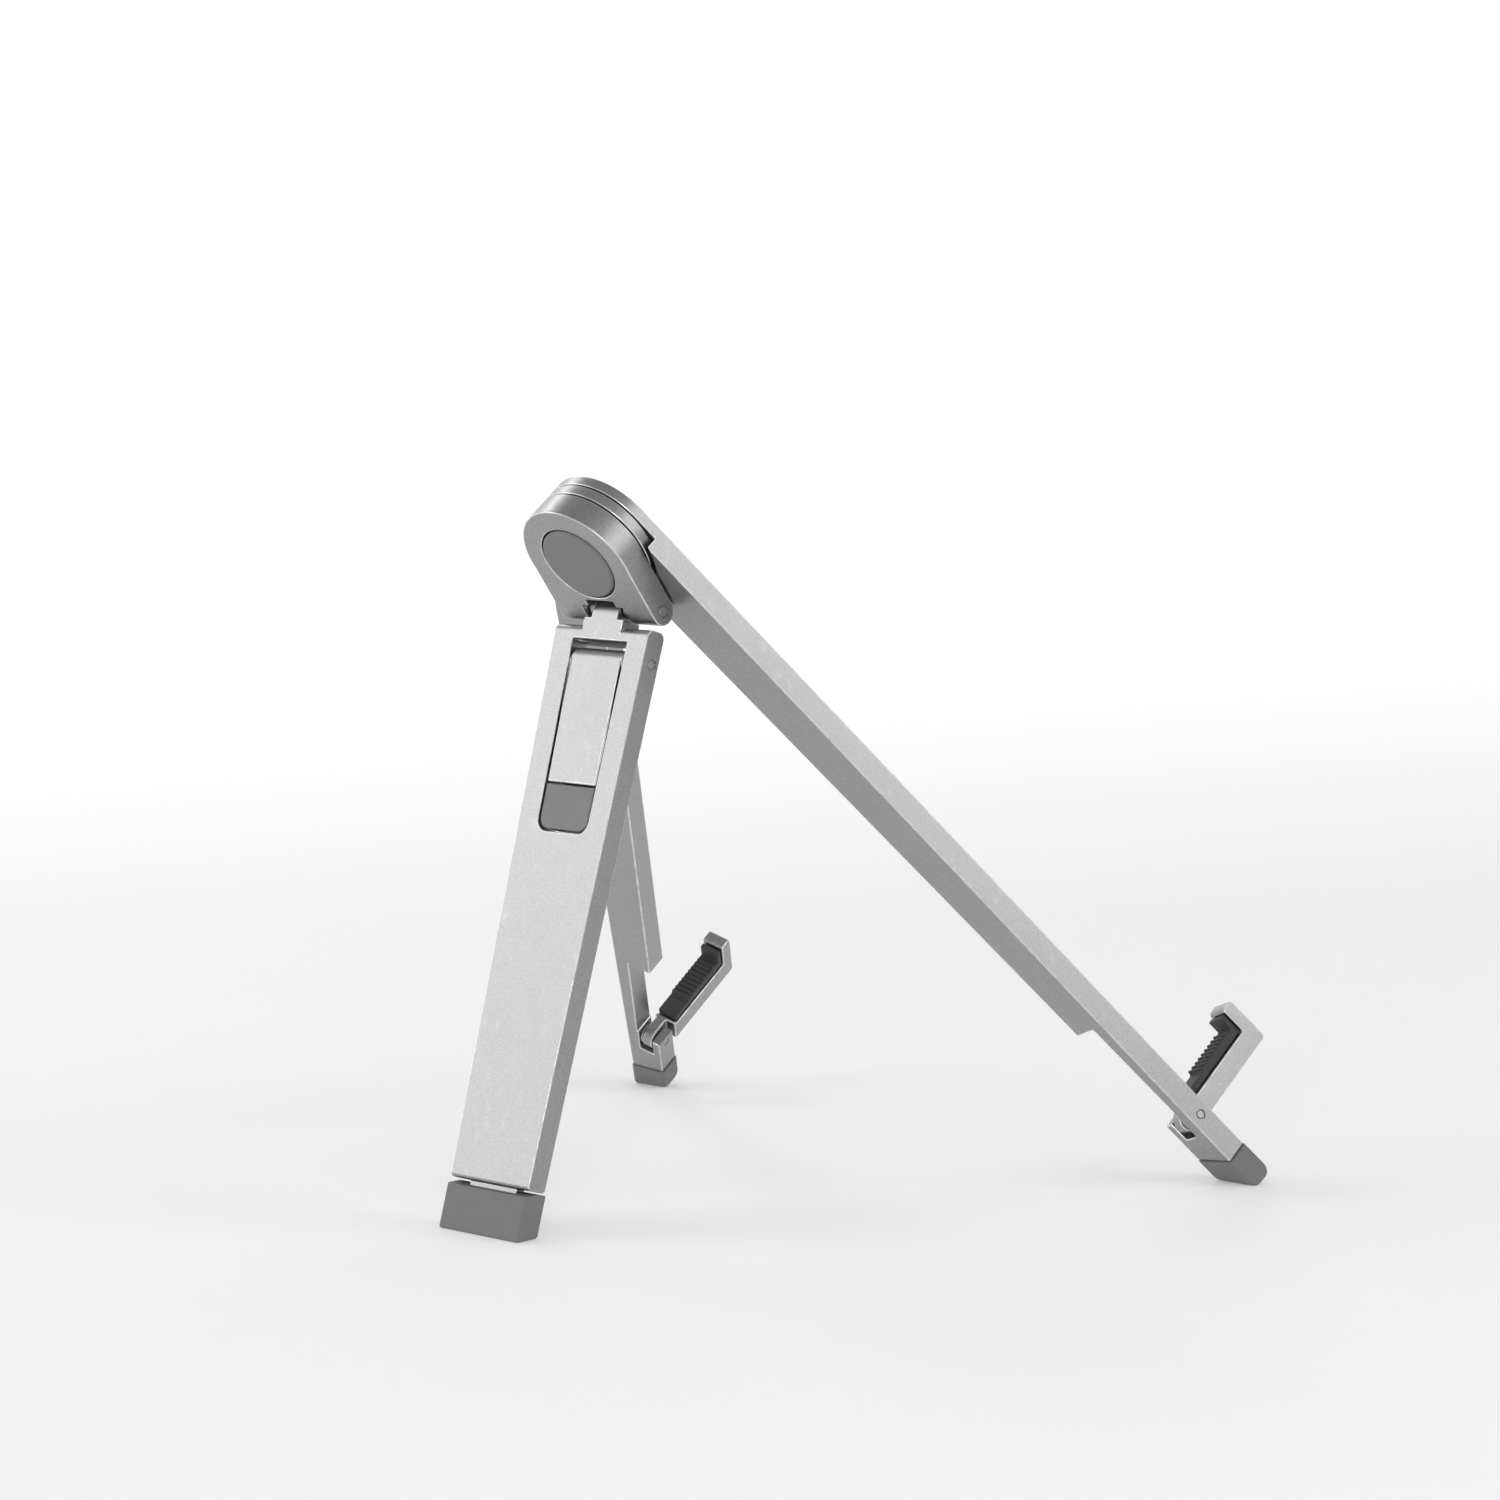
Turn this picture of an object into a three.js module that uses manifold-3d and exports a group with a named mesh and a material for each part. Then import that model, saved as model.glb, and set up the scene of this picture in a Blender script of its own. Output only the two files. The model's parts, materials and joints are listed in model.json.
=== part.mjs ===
// Folding aluminium tablet stand: a knuckle with two front legs that fan out, a hinged rear leg with a
// short typing leg inside it, and two arms that fold out of the front legs to hold the tablet.
// Millimetres, +Z up, the tablet in front of the stand at -Y, the feet on Z = 0.
import * as THREE from 'three'
import { mergeVertices } from 'three/addons/utils/BufferGeometryUtils.js'
import Module from 'manifold-3d'

const wasm = await Module()
wasm.setup()

const { degToRad } = THREE.MathUtils

// Stance
const LEAN = degToRad(35.9) // front legs' plane from the vertical
const SPREAD = degToRad(25.65) // each front leg from the middle line
const REAR_OPENING = degToRad(53.6) // rear leg from the front legs' plane
const PIVOT_HEIGHT = 123.8 // pivot axis at the front legs' front face
const PIVOT_Y = 31.29 // puts the stand's bounding box on the origin
const FOOT_CLEARANCE = 0.15 // each front foot's inner face from the middle line
const FOOT_PROUD = 0.3 // how far the rubber feet stand out of the metal
const LEG_CLEARANCE = FOOT_CLEARANCE + FOOT_PROUD
const GAP = 0.3 // between pieces that touch
const RUNNING = 0.05 // radial clearance of a pin in its bore

// Front legs: n is the depth from their front face, away from the tablet
const LEG_DEPTH = 4.8
const KNUCKLE_RADIUS = 12.1
const DISC_DEPTH = 2.25
const NEIGHBOUR_RADIUS = 13.2 // the bar stands clear of the other leg's disc
const LEG_FOOT_WIDTH = 8.15
const LEG_TAPER_LENGTH = 160
const METAL_END_INNER = 160.4
const METAL_END_OUTER = 163
const SOLE = { heel: LEG_DEPTH + FOOT_PROUD, toe: -FOOT_PROUD, tilt: degToRad(4), rounding: 1.8 }
const TENON = { inner: 2.3, outer: 5.8, depth: 2, length: 3.2 }

// Arm hinge, along the leg from the pivot
const ARM_PIN_ALONG = 152.9
const ARM_PIN_RADIUS = 0.75
const NOTCH_TOP = 127.5
const NOTCH_WIDTH = 5.75
const SLOT_WIDTH = 5.5
const SLOT_TOP = 150.3
const LUG_WIDTH = 2.2
const LUG_RISE = 1.3 // of the square lug above the pin
const ARM_HALF_HEIGHT = 2.4
const ARM_INNER = 0.35
const ARM_OUTER = 5.2
const ARM_LENGTH = 24.2
const ARM_SHOULDER = 3.25 // from the pin to the arm's square end, clear of the lug's corners
const PRONG_INNER = 2.5
const PRONG_OUTER = 4.7
const SLOT_GAP = 0.4 // under the prong
const PAD_POCKET = { from: 3.9, to: 21.4, floor: 1.8 }
const PAD_TOP = 3.4
const PAD_RAISED_TOP = 3.9
const PAD_RAISED_FROM = 9.2
const LIP_TOP = 7.4
const LIP_ROUNDING = 0.8

// Knuckle stack on the pivot axle
const HEAD_FRONT = LEG_DEPTH + GAP
const HEAD_DEPTH = 5.2
const HEAD_BACK = HEAD_FRONT + HEAD_DEPTH
const HEAD_HALF_WIDTH = 12
const AXLE_RADIUS = 2
const AXLE_FLANGE_RADIUS = 4
const AXLE_END = 8.8
const FRONT_PAD = { radius: 8.7, front: -0.9, pocket: 0.6 }
const FLANGE_POCKET = 0.75
const WASHER = { radius: 5.8, thickness: 0.5, pocket: 0.4 }
const CAP = { radius: 7.65, thickness: 1.4, proud: 0.28, chamfer: 0.4 }
const CAP_RECESS_FLOOR = 7.1
const NUT = { acrossFlats: 7, thickness: 1 }
const SPRING_WASHER = { radius: 4.3, thickness: 0.4 }

// Rear hinge
const REAR_PIN_DROP = 12.5 // below the pivot axis
const REAR_PIN_RADIUS = 0.9
const EAR_RADIUS = HEAD_DEPTH / 2
const UPPER_SLOT = { halfWidth: 3.6, top: 8.7 }
const LOWER_SLOT = { halfWidth: 5.3, top: 10 }
const HINGE_KNUCKLE_HALF = 3.25
const KNUCKLE_FALL_FROM = 1.9 // below the pin; from here up the back of the hinge knuckle curves away
const TONGUE_HALF = 5
const TONGUE_FROM = 2.4
const HINGE_WASHER = { radius: 1.85, inner: 3.55, outer: 5 }

// Rear leg: distances from the rear hinge pin along the leg
const REAR_LEG_THICKNESS = 4.33
const REAR_LEG_TAPER = 0.0185 // lost from each half width per millimetre
const SHOULDER_FROM = 3.8
const REAR_METAL_END = 106
const REAR_TENON_HALF = 6
const SHOULDER_ROUNDING = 1.4
const REAR_END_ROUNDING = 0.7
const WINDOW = { from: 6.4, to: 42, topHalf: 6.95, bottomHalf: 6.4, rounding: 2.5 }

// Typing leg
const TYPING_PIN = 9.8
const TYPING_PIN_RADIUS = 0.8
const TYPING_GAP = 0.4
const TYPING_THICKNESS = 4
const TYPING_METAL_END = 33
const TYPING_TIP_END = 41.5
const TYPING_TENON = { half: 3, depth: 1.6, length: 3 }
const HUB_SPRING = { from: 6.72, to: 7.02, half: 6.4, front: -1.4, back: 1 }

const ARC_STEPS = 6
const ROUND_SEGMENTS = 80
const PIN_SEGMENTS = 32
const PIN_RECESS = { grow: 0.3, depth: 0.25 } // the ring round each pin's visible end
const BEYOND = 60 // a cutting block that reaches past every face

const ALUMINIUM = { color: 0xc9cacb, roughness: 0.42, metalness: 0.95 }
const STEEL = { color: 0xa9abad, roughness: 0.3, metalness: 1 }
const RUBBER = { color: 0x75777a, roughness: 0.85, metalness: 0 }
const CAP_GREY = { color: 0x6f7275, roughness: 0.6, metalness: 0.1 }
const NYLON = { color: 0xd8d8d2, roughness: 0.6, metalness: 0 }

// ---- Outlines -----------------------------------------------------------------------------------

// Points of a fillet of the given radius at a corner, between its two neighbours.
function filletPoints(before, corner, after, radius) {
  const point = new THREE.Vector2(...corner)
  const toBefore = new THREE.Vector2(...before).sub(point).normalize()
  const toAfter = new THREE.Vector2(...after).sub(point).normalize()
  const halfAngle = Math.acos(THREE.MathUtils.clamp(toBefore.dot(toAfter), -1, 1)) / 2
  const inwards = toBefore.clone().add(toAfter).normalize()
  const centre = inwards.multiplyScalar(radius / Math.sin(halfAngle)).add(point)
  const start = toBefore.clone().multiplyScalar(radius / Math.tan(halfAngle)).add(point).sub(centre)
  const turn = Math.sign(-toBefore.cross(toAfter)) * (Math.PI - 2 * halfAngle)
  return Array.from({ length: ARC_STEPS + 1 }, (_, step) => {
    const angle = (turn * step) / ARC_STEPS
    return start.clone().rotateAround(new THREE.Vector2(), angle).add(centre)
  })
}

// A closed outline from corners [x, y, radius]; a corner without a radius stays sharp.
function roundedOutline(corners) {
  const count = corners.length
  return corners.flatMap(([x, y, radius = 0], index) => {
    if (radius === 0) return [new THREE.Vector2(x, y)]
    const [beforeX, beforeY] = corners[(index + count - 1) % count]
    const [afterX, afterY] = corners[(index + 1) % count]
    return filletPoints([beforeX, beforeY], [x, y], [afterX, afterY], radius)
  })
}

// ---- Solids -------------------------------------------------------------------------------------

function toSolid(geometry) {
  const bare = geometry.index ? geometry.toNonIndexed() : geometry.clone()
  bare.deleteAttribute('normal')
  bare.deleteAttribute('uv')
  const merged = mergeVertices(bare, 1e-5)
  return new wasm.Manifold(new wasm.Mesh({
    numProp: 3,
    vertProperties: Float32Array.from(merged.attributes.position.array),
    triVerts: Uint32Array.from(merged.index.array),
  }))
}

function toGeometry(solid) {
  const { vertProperties, triVerts } = solid.getMesh()
  const geometry = new THREE.BufferGeometry()
  geometry.setAttribute('position', new THREE.BufferAttribute(Float32Array.from(vertProperties), 3))
  geometry.setIndex(new THREE.BufferAttribute(Uint32Array.from(triVerts), 1))
  geometry.computeVertexNormals()
  return geometry
}

// An outline pulled along +Z from one level to another.
function extruded(corners, from, to) {
  const shape = new THREE.Shape(roundedOutline(corners))
  const geometry = new THREE.ExtrudeGeometry(shape, { depth: to - from, bevelEnabled: false })
  return geometry.translate(0, 0, from)
}

const prism = (corners, from, to) => toSolid(extruded(corners, from, to))

function box(x, y, z) {
  const size = [x[1] - x[0], y[1] - y[0], z[1] - z[0]]
  const centre = [(x[0] + x[1]) / 2, (y[0] + y[1]) / 2, (z[0] + z[1]) / 2]
  return toSolid(new THREE.BoxGeometry(...size).translate(...centre))
}

// A round bar along Z about a point.
function barZ(radius, from, to, segments = ROUND_SEGMENTS, x = 0, y = 0) {
  const geometry = new THREE.CylinderGeometry(radius, radius, to - from, segments)
  return toSolid(geometry.rotateX(Math.PI / 2).translate(x, y, (from + to) / 2))
}

// A round bar along X about a point of the YZ plane.
function barX(radius, from, to, segments = PIN_SEGMENTS, y = 0, z = 0) {
  const geometry = new THREE.CylinderGeometry(radius, radius, to - from, segments)
  return toSolid(geometry.rotateZ(Math.PI / 2).translate((from + to) / 2, y, z))
}

const ringZ = (inner, outer, from, to) => barZ(outer, from, to).subtract(barZ(inner, from - 1, to + 1))

const ringX = (inner, outer, from, to, y = 0, z = 0) =>
  barX(outer, from, to, PIN_SEGMENTS, y, z).subtract(barX(inner, from - 1, to + 1, PIN_SEGMENTS, y, z))

// The same geometry reflected in X, its faces still pointing out.
function mirroredX(geometry) {
  const mirrored = geometry.clone().scale(-1, 1, 1)
  const { array } = mirrored.index
  for (let corner = 0; corner < array.length; corner += 3) {
    [array[corner], array[corner + 1]] = [array[corner + 1], array[corner]]
  }
  mirrored.computeVertexNormals()
  return mirrored
}

const onBothSides = (solid) => solid.add(toSolid(mirroredX(toGeometry(solid))))

function piece(name, solid, finish, mirror = false) {
  const geometry = toGeometry(solid)
  const shown = mirror ? mirroredX(geometry) : geometry
  const mesh = new THREE.Mesh(shown, new THREE.MeshStandardMaterial(finish))
  mesh.name = name
  return mesh
}

// ---- Front legs: x outwards from the leg's inner line, y up the leg, z away from the tablet ------

const legOuterAt = (along) => KNUCKLE_RADIUS - ((KNUCKLE_RADIUS - LEG_FOOT_WIDTH) * along) / LEG_TAPER_LENGTH

const metalEndAt = (across) =>
  METAL_END_INNER + ((METAL_END_OUTER - METAL_END_INNER) * (across - LEG_CLEARANCE)) / LEG_FOOT_WIDTH

// The leg's bar from the pivot down to a slanted end.
function legBar(endInner, endOuter) {
  const outerEnd = legOuterAt(endOuter)
  return prism([
    [LEG_CLEARANCE, 0],
    [LEG_CLEARANCE, -endInner],
    [outerEnd, -endOuter],
    [legOuterAt(0), 0],
  ], 0, LEG_DEPTH)
}

// The space for the folded arm, and the slot that its prong turns in.
function armNotch() {
  const depth = [-1, LEG_DEPTH + 1]
  const slotFloor = ARM_PIN_ALONG + ARM_HALF_HEIGHT + SLOT_GAP
  const cavity = box([-1, NOTCH_WIDTH], [-SLOT_TOP, -NOTCH_TOP], depth)
  const overLug = box([-1, SLOT_WIDTH], [LUG_RISE - ARM_PIN_ALONG, -NOTCH_TOP], depth)
  const slot = box([LUG_WIDTH, SLOT_WIDTH], [-slotFloor, -NOTCH_TOP], depth)
  return cavity.add(overLug).add(slot)
}

// The ring-shaped dip round a pin's end in an outer face, for a pin along X.
const pinRecess = (radius, face, y, z) =>
  barX(radius + PIN_RECESS.grow, face - PIN_RECESS.depth, face + 1, PIN_SEGMENTS, y, z)

function legTenon(grow) {
  const along = [-(METAL_END_OUTER + TENON.length + grow), -(METAL_END_INNER - 1)]
  const middle = LEG_DEPTH / 2
  const depth = [middle - TENON.depth / 2 - grow, middle + TENON.depth / 2 + grow]
  return box([TENON.inner - grow, TENON.outer + grow], along, depth)
}

// The disc that turns on the axle: the front one carries the pad and the axle's flange.
function frontDisc() {
  return barZ(KNUCKLE_RADIUS, 0, DISC_DEPTH)
    .subtract(barZ(FRONT_PAD.radius + GAP, -1, FRONT_PAD.pocket))
    .subtract(barZ(AXLE_FLANGE_RADIUS + GAP, 0, FRONT_PAD.pocket + FLANGE_POCKET))
    .subtract(barZ(WASHER.radius + GAP, DISC_DEPTH - WASHER.pocket, DISC_DEPTH + 1))
    .subtract(barZ(AXLE_RADIUS + RUNNING, -1, DISC_DEPTH + 1))
}

function middleDisc() {
  return barZ(KNUCKLE_RADIUS, LEG_DEPTH - DISC_DEPTH, LEG_DEPTH)
    .subtract(barZ(WASHER.radius + GAP, LEG_DEPTH - WASHER.pocket, LEG_DEPTH + 1))
    .subtract(barZ(AXLE_RADIUS + RUNNING, -1, LEG_DEPTH + 1))
}

// A leg whose disc fills one half of its depth; the other half is cut away round the neighbour's disc.
function frontLeg(isFrontDisc) {
  const cutLevels = isFrontDisc ? [DISC_DEPTH, LEG_DEPTH + 1] : [-1, LEG_DEPTH - DISC_DEPTH]
  const discLevels = isFrontDisc ? [-1, DISC_DEPTH] : [LEG_DEPTH - DISC_DEPTH, LEG_DEPTH + 1]
  return legBar(METAL_END_INNER, METAL_END_OUTER)
    .subtract(barZ(NEIGHBOUR_RADIUS, ...cutLevels))
    .subtract(barZ(KNUCKLE_RADIUS - 1, ...discLevels))
    .add(isFrontDisc ? frontDisc() : middleDisc())
    .subtract(armNotch())
    .add(legTenon(0))
    .subtract(barX(ARM_PIN_RADIUS + RUNNING, -1, BEYOND, PIN_SEGMENTS, -ARM_PIN_ALONG, LEG_DEPTH / 2))
    .subtract(pinRecess(ARM_PIN_RADIUS, legOuterAt(ARM_PIN_ALONG), -ARM_PIN_ALONG, LEG_DEPTH / 2))
}

// Turns the sole's side view into the front plane: x becomes backwards, y up the plane.
const SOLE_FRAME = new THREE.Matrix4().makeBasis(
  new THREE.Vector3(0, 0, 1),
  new THREE.Vector3(0, 1, 0),
  new THREE.Vector3(-1, 0, 0),
)

// Where the sole meets the foot's back face, up the front plane: the rounded heel just rests on the ground.
function heelUp() {
  const { heel, tilt, rounding } = SOLE
  const centreUp = (rounding + (heel - rounding) * Math.sin(LEAN) - PIVOT_HEIGHT) / Math.cos(LEAN)
  return centreUp + rounding * (Math.tan(tilt) - 1 / Math.cos(tilt))
}

// A block right across both feet whose lower end is their sole.
function soleBlock() {
  const { heel, toe, tilt, rounding } = SOLE
  const side = extruded([
    [heel, 0],
    [toe, 0],
    [toe, heelUp() - (heel - toe) * Math.tan(tilt), rounding],
    [heel, heelUp(), rounding],
  ], -2 * BEYOND, 2 * BEYOND)
  return toSolid(side.applyMatrix4(SOLE_FRAME).rotateZ(-SPREAD))
}

// Rubber foot: cut nearly square, so that the leaning leg stands on its rounded heel.
function frontFoot() {
  const outer = legOuterAt(METAL_END_OUTER) + FOOT_PROUD
  const farEnd = METAL_END_OUTER + BEYOND
  const bar = box([FOOT_CLEARANCE, outer], [-farEnd, BEYOND - METAL_END_INNER], [SOLE.toe, SOLE.heel])
  const belowMetal = prism([
    [-BEYOND, -metalEndAt(-BEYOND) - GAP],
    [-BEYOND, -farEnd],
    [BEYOND, -farEnd],
    [BEYOND, -metalEndAt(BEYOND) - GAP],
  ], -1, LEG_DEPTH + 1)
  return bar.intersect(soleBlock()).intersect(belowMetal).subtract(legTenon(GAP))
}

function frontPad() {
  return barZ(FRONT_PAD.radius, FRONT_PAD.front, FRONT_PAD.pocket - GAP / 2)
}

// ---- Arms: built straight out from the pin, x away from the leg, y up the leg --------------------

// Turns an arm's side view into the leg's frame: x becomes forwards, y up the leg, z across the leg.
const ARM_FRAME = new THREE.Matrix4().makeBasis(
  new THREE.Vector3(0, 0, -1),
  new THREE.Vector3(0, 1, 0),
  new THREE.Vector3(1, 0, 0),
).setPosition(0, -ARM_PIN_ALONG, LEG_DEPTH / 2)

const armPrism = (corners, from, to) => toSolid(extruded(corners, from, to).applyMatrix4(ARM_FRAME))

function arm() {
  const { from, to, floor } = PAD_POCKET
  const body = armPrism([
    [ARM_SHOULDER, -ARM_HALF_HEIGHT],
    [ARM_LENGTH, -ARM_HALF_HEIGHT, LIP_ROUNDING],
    [ARM_LENGTH, LIP_TOP, LIP_ROUNDING],
    [to, LIP_TOP, LIP_ROUNDING],
    [to, floor],
    [from, floor],
    [from, ARM_HALF_HEIGHT],
    [ARM_SHOULDER, ARM_HALF_HEIGHT],
  ], ARM_INNER, ARM_OUTER)
  const prong = armPrism([
    [0, -ARM_HALF_HEIGHT],
    [ARM_SHOULDER + GAP, -ARM_HALF_HEIGHT],
    [ARM_SHOULDER + GAP, ARM_HALF_HEIGHT],
    [0, ARM_HALF_HEIGHT],
  ], PRONG_INNER, PRONG_OUTER)
  const pinAt = [-ARM_PIN_ALONG, LEG_DEPTH / 2]
  return body
    .add(prong)
    .add(barX(ARM_HALF_HEIGHT, PRONG_INNER, PRONG_OUTER, ROUND_SEGMENTS, ...pinAt))
    .subtract(barX(ARM_PIN_RADIUS + RUNNING, -1, BEYOND, PIN_SEGMENTS, ...pinAt))
}

// Rubber lining: a two-level seat that turns up inside the lip.
function armPad() {
  const { from, to, floor } = PAD_POCKET
  const lining = 1.1
  return armPrism([
    [from + GAP, floor + GAP],
    [to - GAP, floor + GAP],
    [to - GAP, LIP_TOP - LIP_ROUNDING],
    [to - GAP - lining, LIP_TOP - LIP_ROUNDING],
    [to - GAP - lining, PAD_RAISED_TOP],
    [PAD_RAISED_FROM, PAD_RAISED_TOP],
    [PAD_RAISED_FROM - GAP, PAD_TOP],
    [from + GAP, PAD_TOP],
  ], ARM_INNER + GAP, ARM_OUTER - GAP)
}

function armPin() {
  const end = legOuterAt(ARM_PIN_ALONG) - RUNNING
  return barX(ARM_PIN_RADIUS, LEG_CLEARANCE + RUNNING, end, PIN_SEGMENTS, -ARM_PIN_ALONG, LEG_DEPTH / 2)
}

function armWasher() {
  const levels = [PRONG_OUTER + GAP / 2, SLOT_WIDTH - GAP / 2]
  return ringX(ARM_PIN_RADIUS + RUNNING, ARM_HALF_HEIGHT - GAP, ...levels, -ARM_PIN_ALONG, LEG_DEPTH / 2)
}

// ---- Knuckle ------------------------------------------------------------------------------------

// Rear knuckle: round on top, two ears below that hold the rear hinge pin.
function headKnuckle() {
  const middle = HEAD_FRONT + EAR_RADIUS
  const dome = barZ(KNUCKLE_RADIUS, HEAD_FRONT, HEAD_BACK)
  const widths = [-HEAD_HALF_WIDTH, HEAD_HALF_WIDTH]
  const sides = box(widths, [-REAR_PIN_DROP, 0], [HEAD_FRONT, HEAD_BACK])
  const ears = barX(EAR_RADIUS, ...widths, ROUND_SEGMENTS, -REAR_PIN_DROP, middle)
  const throat = (slot) => box(
    [-slot.halfWidth, slot.halfWidth],
    [-BEYOND, -slot.top],
    [HEAD_FRONT - 1, HEAD_BACK + 1],
  )
  return dome
    .add(sides)
    .add(ears)
    .subtract(throat(UPPER_SLOT))
    .subtract(throat(LOWER_SLOT))
    .subtract(barZ(CAP.radius + GAP, CAP_RECESS_FLOOR, HEAD_BACK + 1))
    .subtract(barZ(AXLE_RADIUS + RUNNING, HEAD_FRONT - 1, HEAD_BACK))
    .subtract(barX(REAR_PIN_RADIUS + RUNNING, -BEYOND, BEYOND, PIN_SEGMENTS, -REAR_PIN_DROP, middle))
    .subtract(onBothSides(pinRecess(REAR_PIN_RADIUS, HEAD_HALF_WIDTH, -REAR_PIN_DROP, middle)))
}

function headCap() {
  const top = HEAD_BACK + CAP.proud
  const profile = [
    [0, top - CAP.thickness],
    [CAP.radius, top - CAP.thickness],
    [CAP.radius, top - CAP.chamfer],
    [CAP.radius - CAP.chamfer, top],
    [0, top],
  ].map(([radius, level]) => new THREE.Vector2(radius, level))
  return toSolid(new THREE.LatheGeometry(profile, ROUND_SEGMENTS).rotateX(Math.PI / 2))
}

function pivotAxle() {
  const flangeFront = FRONT_PAD.pocket + GAP / 2
  return barZ(AXLE_FLANGE_RADIUS, flangeFront, FRONT_PAD.pocket + FLANGE_POCKET - GAP / 2)
    .add(barZ(AXLE_RADIUS, flangeFront, AXLE_END, PIN_SEGMENTS * 2))
}

function pivotNut() {
  const from = CAP_RECESS_FLOOR + SPRING_WASHER.thickness + GAP / 2
  const hexagon = barZ(NUT.acrossFlats / Math.sqrt(3), from, from + NUT.thickness, 6)
  return hexagon.subtract(barZ(AXLE_RADIUS + RUNNING, from - 1, from + NUT.thickness + 1))
}

function springWasher() {
  const from = CAP_RECESS_FLOOR + RUNNING
  return ringZ(AXLE_RADIUS + RUNNING, SPRING_WASHER.radius, from, from + SPRING_WASHER.thickness)
}

function pivotWasher(pocketFloor) {
  const from = pocketFloor + RUNNING * 2
  return ringZ(AXLE_RADIUS + RUNNING, WASHER.radius, from, from + WASHER.thickness)
}

function rearHingePin() {
  const end = HEAD_HALF_WIDTH - RUNNING
  return barX(REAR_PIN_RADIUS, -end, end, PIN_SEGMENTS, -REAR_PIN_DROP, HEAD_FRONT + EAR_RADIUS)
}

function hingeWasher(side) {
  const ends = [side * HINGE_WASHER.inner, side * HINGE_WASHER.outer].sort((a, b) => a - b)
  const middle = HEAD_FRONT + EAR_RADIUS
  return ringX(REAR_PIN_RADIUS + RUNNING, HINGE_WASHER.radius, ...ends, -REAR_PIN_DROP, middle)
}

// ---- Rear leg: origin on its hinge pin, y back up the leg, z out of its back face ----------------

const REAR_BACK = EAR_RADIUS
const REAR_FRONT = REAR_BACK - REAR_LEG_THICKNESS

const rearHalfAt = (along) => HEAD_HALF_WIDTH - REAR_LEG_TAPER * along

// Side view of the blade, its ends rounded; x is the thickness and y runs back up the leg.
function rearBladeSide() {
  const side = extruded([
    [REAR_FRONT, -SHOULDER_FROM, SHOULDER_ROUNDING],
    [REAR_FRONT, -REAR_METAL_END, REAR_END_ROUNDING],
    [REAR_BACK, -REAR_METAL_END, REAR_END_ROUNDING],
    [REAR_BACK, -SHOULDER_FROM, SHOULDER_ROUNDING],
  ], -BEYOND, BEYOND)
  return toSolid(side.rotateY(-Math.PI / 2))
}

function rearLeg() {
  const bottomHalf = rearHalfAt(REAR_METAL_END)
  const blade = prism([
    [-rearHalfAt(SHOULDER_FROM), -SHOULDER_FROM],
    [-bottomHalf, -REAR_METAL_END],
    [bottomHalf, -REAR_METAL_END],
    [rearHalfAt(SHOULDER_FROM), -SHOULDER_FROM],
  ], REAR_FRONT, REAR_BACK)
  const hole = prism([
    [-WINDOW.topHalf, -WINDOW.from],
    [-WINDOW.bottomHalf, -WINDOW.to, WINDOW.rounding],
    [WINDOW.bottomHalf, -WINDOW.to, WINDOW.rounding],
    [WINDOW.topHalf, -WINDOW.from],
  ], REAR_FRONT - 1, REAR_BACK + 1)
  const levels = [REAR_FRONT, REAR_BACK]
  const tongueRoot = -SHOULDER_FROM - SHOULDER_ROUNDING
  return blade
    .intersect(rearBladeSide())
    .add(box([-TONGUE_HALF, TONGUE_HALF], [tongueRoot, -TONGUE_FROM], levels))
    .add(hingeKnuckle(tongueRoot, levels))
    .subtract(hole)
    .subtract(barX(REAR_PIN_RADIUS + RUNNING, -BEYOND, BEYOND))
    .subtract(barX(TYPING_PIN_RADIUS + RUNNING, -BEYOND, BEYOND, PIN_SEGMENTS, -TYPING_PIN))
    .subtract(onBothSides(pinRecess(TYPING_PIN_RADIUS, rearHalfAt(TYPING_PIN), -TYPING_PIN, 0)))
    .add(rearTenon(0))
}

// The hinge knuckle: one large round runs over its back, from below the pin to the top of the barrel.
function hingeKnuckle(root, levels) {
  const widths = [-HINGE_KNUCKLE_HALF, HINGE_KNUCKLE_HALF]
  const radius = ((EAR_RADIUS + KNUCKLE_FALL_FROM) ** 2 + EAR_RADIUS ** 2) / (2 * EAR_RADIUS)
  const largeRound = barX(radius, ...widths, ROUND_SEGMENTS, -KNUCKLE_FALL_FROM, EAR_RADIUS - radius)
  const below = box(widths, [root, -KNUCKLE_FALL_FROM], levels)
  const front = box(widths, [root, EAR_RADIUS], [-EAR_RADIUS, 0])
  return box(widths, [root, 0], levels)
    .add(barX(EAR_RADIUS, ...widths, ROUND_SEGMENTS))
    .intersect(largeRound.add(below).add(front))
}

function rearTenon(grow) {
  const half = REAR_TENON_HALF + grow
  const middle = (REAR_FRONT + REAR_BACK) / 2
  const depth = [middle - TENON.depth / 2 - grow, middle + TENON.depth / 2 + grow]
  return box([-half, half], [-(REAR_METAL_END + TENON.length + grow), 1 - REAR_METAL_END], depth)
}

// Height of the rear hinge pin and the rear leg's lean from the vertical give its length to the ground.
const REAR_PIN_BACK = HEAD_FRONT + EAR_RADIUS
const REAR_PIN_HEIGHT = PIVOT_HEIGHT - REAR_PIN_DROP * Math.cos(LEAN) - REAR_PIN_BACK * Math.sin(LEAN)
const REAR_LEAN = REAR_OPENING - LEAN

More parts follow.
